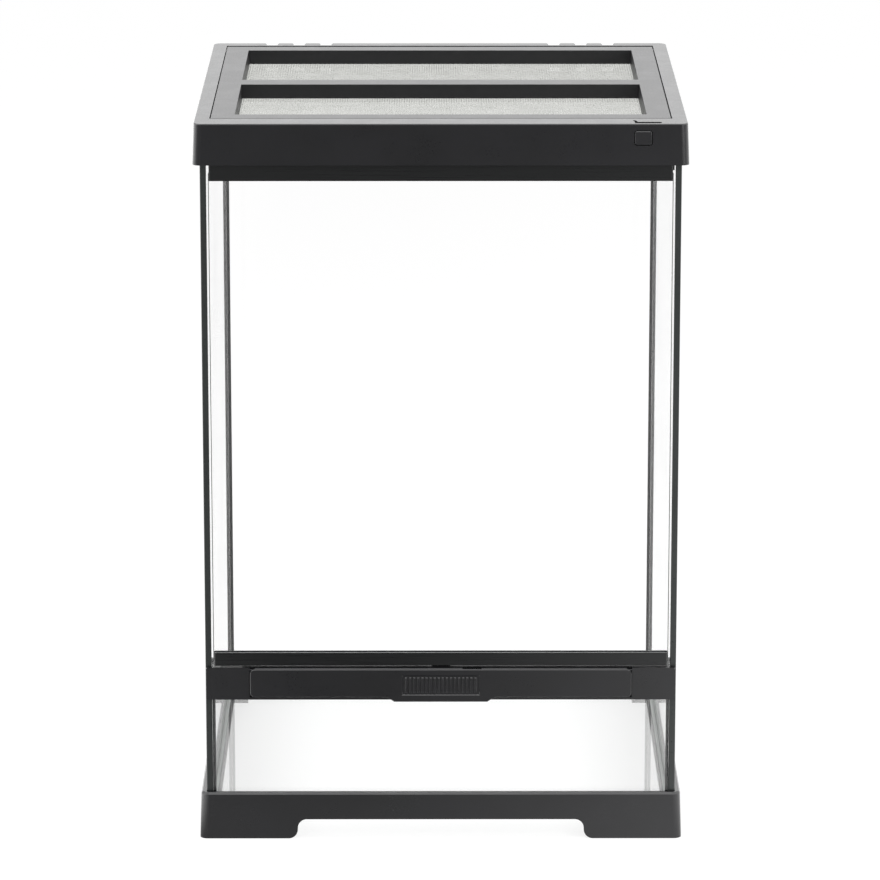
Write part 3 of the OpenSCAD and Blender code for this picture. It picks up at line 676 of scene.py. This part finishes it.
# Moulded acetal: waxy, even mid grey that keeps a soft shine.
acetal, tree = material("moulded_acetal_grey")
at = add(tree, "ShaderNodeTexCoord").outputs["Object"]
fleck = mottle(tree, at, size_mm=2, detail=2.0)
pale = shades(tree, fleck.outputs[0], "#8b8c8b", "#9b9c9b")
slip = remap(tree, fleck.outputs[0], noise_span, (0.35, 0.5))
slick = add(
    tree,
    "ShaderNodeBsdfPrincipled",
    {"Base Color": pale.outputs["Result"], "Roughness": slip.outputs[0], "IOR": 1.48},
)
add(tree, "ShaderNodeOutputMaterial", {"Surface": slick.outputs[0]})
moulded("hinge_bracket", "hinge_bracket_moulding", "tank", "grey_plastic", acetal, radius=0.0003)

# ---------------------------------------------------------------- pins, rod, springs and screws
# Pins and the rod are drawn wire cut to length, the springs are wound from
# wire, the catches are bent strip, and the screws have pan heads.
tongue_chamfer = 0.00042
coil_crease = math.radians(45)


def drawn_wire(name, low, high):
    """Drawn steel: smooth, with faint lines along the drawing direction."""
    made, tree = material(name)
    at = add(tree, "ShaderNodeTexCoord").outputs["Object"]
    lines = mottle(tree, at, size_mm=0.8, detail=2.0)
    polish = remap(tree, lines.outputs[0], noise_span, (0.2, 0.34))
    tone = shades(tree, lines.outputs[0], low, high)
    metal = add(
        tree,
        "ShaderNodeBsdfPrincipled",
        {"Base Color": tone.outputs["Result"], "Metallic": 1.0, "Roughness": polish.outputs[0]},
    )
    add(tree, "ShaderNodeOutputMaterial", {"Surface": metal.outputs[0]})
    return made


# Bright stainless for the pins and screws; the latch's parts are steel painted
# dark as shade, so that their ends in the gaps at the plate's corners stay unseen.
bright_steel = drawn_wire("drawn_stainless_steel", "#b4b4b2", "#c8c8c6")
# painted shade: the dark steel keeps the rod's ends in the plate's gaps shaded
black_steel = drawn_wire("dark_spring_steel_painted_shade", "#2b2b2d", "#39393b")
tongue_low, tongue_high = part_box("latch_catch")


def shape_tongue(bm):
    """The bend at the tongue's foot, which clears its window's floor as the plate lifts."""
    rear, foot = tongue_high.y - touching, tongue_low.z + touching
    bend = [e for e in bm.edges if all(v.co.y > rear and v.co.z < foot for v in e.verts)]
    chamfer(bm, bend, tongue_chamfer)


for node, body, radius, finish, shape in (
    ("latch_pivot_rod", "tank", 0.0002, black_steel, None),
    ("latch_catch", "latch_plate", 0.00008, black_steel, shape_tongue),
    ("door_pin_top", "door", 0.0003, bright_steel, None),
    ("door_pin_bottom", "door", 0.0003, bright_steel, None),
    ("lid_screws", "lid", 0.00015, bright_steel, None),
    ("lid_pin_left", "lid", 0.0003, bright_steel, None),
    ("lid_pin_right", "lid", 0.0003, bright_steel, None),
):
    moulded(node, node + "_steel", body, "steel", finish, radius=radius, shape=shape)


def bent(node, name, finish):
    """A finished copy of a spring or a strip, not yet riding on any body."""
    bm = cad_skin(node)
    for face in bm.faces:
        face.smooth, face.material_index = True, 0
    mesh = finished(bm, name, coil_crease)
    piece = bpy.data.objects.new(name, mesh)
    scene.collection.objects.link(piece)
    mesh.materials.append(finish)
    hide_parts(node)
    return piece


# The torsion spring: its left end bears on the bar and its right end on the
# plate, but it rides on no body and stays in place whole.
coil = bent("latch_spring", "latch_spring_steel", black_steel)
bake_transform(coil)

# The cover's catch: its foot is held in the housing.
catch = bent("lid_catch", "lid_catch_steel", bright_steel)
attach(catch, "tank")

# The button's coil spring, between the button and its seat: it rides whole on
# the button, with a mesh of its own.
coil = bent("lid_button_spring", "lid_button_spring_steel", bright_steel)
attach(coil, "lid_button")
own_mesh(coil)

# ---------------------------------------------------------------- top frame
# The deepest moulding: it caps the glass, carries the cover in a recess, and
# has the latch housing in front and six cable notches at the back.
moulded("top_frame", "top_moulding", "tank", "frame", satin_abs, radius=0.00025)

# ---------------------------------------------------------------- cable gates
# Thin moulded combs that slide behind the notches and close them, each with a
# square thumb tab that shows through the back of the top frame.
for side in ("left", "right"):
    node = "cable_gate_" + side
    moulded(node, node + "_moulding", node, "frame", satin_abs, radius=0.00015)

# ---------------------------------------------------------------- push button
# Square moulded button in the front of the top frame, which bends the cover's
# catch back when it is pressed.
button_chamfer = 0.0004


def shape_button(bm):
    """Chamfers the outline of the button's front."""
    chamfer(bm, front_face(bm).edges[:], button_chamfer)


moulded(
    "lid_latch_button",
    "push_button_moulding",
    "lid_button",
    "frame",
    satin_abs,
    radius=0.0001,
    shape=shape_button,
)

# ---------------------------------------------------------------- screen cover
# Moulded frame with two windows that taper towards the mesh, and a flat
# retainer screwed on from below that clamps the mesh.

# The cover's mould has a slightly coarser texture, so the cover looks a shade
# duller than the frame round it.
dull_abs = satin(
    "moulded_abs_dull_black", "#141416", "#19191b", smooth=0.37, rough=0.46, grain_mm=1.0
)
cover_low, cover_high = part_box("lid_frame")
cover_step, cover_setback, cover_side_chamfer = 0.0008, 0.0006, 0.0004
step_rise = 0.00005


def shape_cover(bm):
    """Steps the cover's front edge back near its top, and chamfers its sides."""
    shelf = cover_high.z - cover_step
    for height in (shelf - step_rise, shelf):
        cut(bm, bm.verts[:] + bm.edges[:] + bm.faces[:], (0, 0, height), (0, 0, 1))
    for vert in bm.verts:
        if vert.co.z > shelf - touching and vert.co.y < cover_low.y + touching:
            vert.co.y += cover_setback
    top, side = cover_high.z - touching, cover_high.x - touching
    sides = [e for e in bm.edges if all(v.co.z > top and abs(v.co.x) > side for v in e.verts)]
    chamfer(bm, sides, cover_side_chamfer)


moulded("lid_frame", "cover_moulding", "lid", "frame", dull_abs, radius=0.0001, shape=shape_cover)
moulded("lid_mesh_retainer", "mesh_retainer_moulding", "lid", "frame", dull_abs, radius=0.0003)

# ---------------------------------------------------------------- mesh
# Two panels of plain woven stainless wire: the long wires are crimped over and
# under the straight cross wires.
mesh_pitch, wire_radius = 0.0016, 0.00018
crimp, weld_sink = 0.8, 0.6  # shares of a wire's radius
end_gap = 0.0002
wire_crease = math.radians(75)

# Bright woven wire, slightly dull from rolling, with a faint warm-grey cast.
wire_steel, tree = material("woven_stainless_wire")
at = add(tree, "ShaderNodeTexCoord").outputs["Object"]
batch = mottle(tree, at, size_mm=14, detail=3.0)
colour = shades(tree, batch.outputs[0], "#757673", "#8b8b89")
wear = remap(tree, batch.outputs[0], noise_span, (0.2, 0.32))
wire = add(
    tree,
    "ShaderNodeBsdfPrincipled",
    {"Base Color": colour.outputs["Result"], "Metallic": 1.0, "Roughness": wear.outputs[0]},
)
add(tree, "ShaderNodeOutputMaterial", {"Surface": wire.outputs[0]})


def straight_wire(bm, place, run, length, radius, sides=6):
    """One straight wire along an axis, centred on a place."""
    axis = Vector((0, 0, 0))
    axis[run] = 1
    turn = Vector((0, 0, 1)).rotation_difference(axis).to_matrix().to_4x4()
    bmesh.ops.create_cone(
        bm,
        cap_ends=True,
        segments=sides,
        radius1=radius,
        radius2=radius,
        depth=length,
        matrix=Matrix.Translation(place) @ turn,
    )


def crimped_wire(bm, place, run, step, thick, count, pitch, radius, phase, lift, sides=4):
    """One wire bent over and under its neighbours: a strip of grid rolled into a tube."""
    made = bmesh.ops.create_grid(bm, x_segments=count, y_segments=sides, size=0.5)["verts"]
    for vert in made:
        i = round((vert.co.x + 0.5) * count)
        turn = 2 * math.pi * (vert.co.y + 0.5)
        spot = Vector(place)
        spot[run] += (i - count / 2) * pitch
        spot[step] += radius * math.sin(turn)
        spot[thick] += radius * math.cos(turn) + (lift if (i + phase) % 2 else -lift)
        vert.co = spot
    seam = radius / 50
    bmesh.ops.remove_doubles(bm, verts=made, dist=seam)


def woven(node, name, body, slot, across, up, thick, pitch, radius, crimped=True):
    """Wires along one axis, woven over or else laid on the straight wires along the other."""
    low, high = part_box(node)
    middle = (low + high) / 2
    bm = bmesh.new()
    n_across = int((high[across] - low[across] - 2 * radius) / pitch)
    n_up = int((high[up] - low[up] - 2 * radius) / pitch)
    for i in range(n_across + 1):
        place = middle.copy()
        place[across] += (i - n_across / 2) * pitch
        straight_wire(bm, place, up, high[up] - low[up] - end_gap, radius)
    for j in range(n_up + 1):
        place = middle.copy()
        place[up] += (j - n_up / 2) * pitch
        if crimped:
            lift = radius * crimp
            crimped_wire(bm, place, across, up, thick, n_across, pitch, radius, j, lift)
        else:
            place[thick] -= radius * weld_sink
            straight_wire(bm, place, across, high[across] - low[across] - end_gap, radius)
    open_ends = [e for e in bm.edges if len(e.link_faces) == 1]
    if open_ends:
        bmesh.ops.holes_fill(bm, edges=open_ends, sides=0)
    bmesh.ops.recalc_face_normals(bm, faces=bm.faces)
    for face in bm.faces:
        face.smooth = len(face.verts) == 4
    mesh = finished(bm, name, wire_crease)
    return finish_piece(name, mesh, node, body, slot, wire_steel)


flat_panel = {"across": 0, "up": 1, "thick": 2, "pitch": mesh_pitch, "radius": wire_radius}
woven("lid_mesh_front", "front_mesh", "lid", "mesh", **flat_panel)
woven("lid_mesh_rear", "rear_mesh", "lid", "mesh", **flat_panel)

# ---------------------------------------------------------------- vent strip
# A fine welded wire strip clipped behind the air slots, so that nothing small
# can leave through them.
upright_strip = {"across": 0, "up": 2, "thick": 1, "pitch": 0.0016, "radius": 0.00014}
woven("vent_grille", "vent_strip", "tank", "steel", **upright_strip, crimped=False)
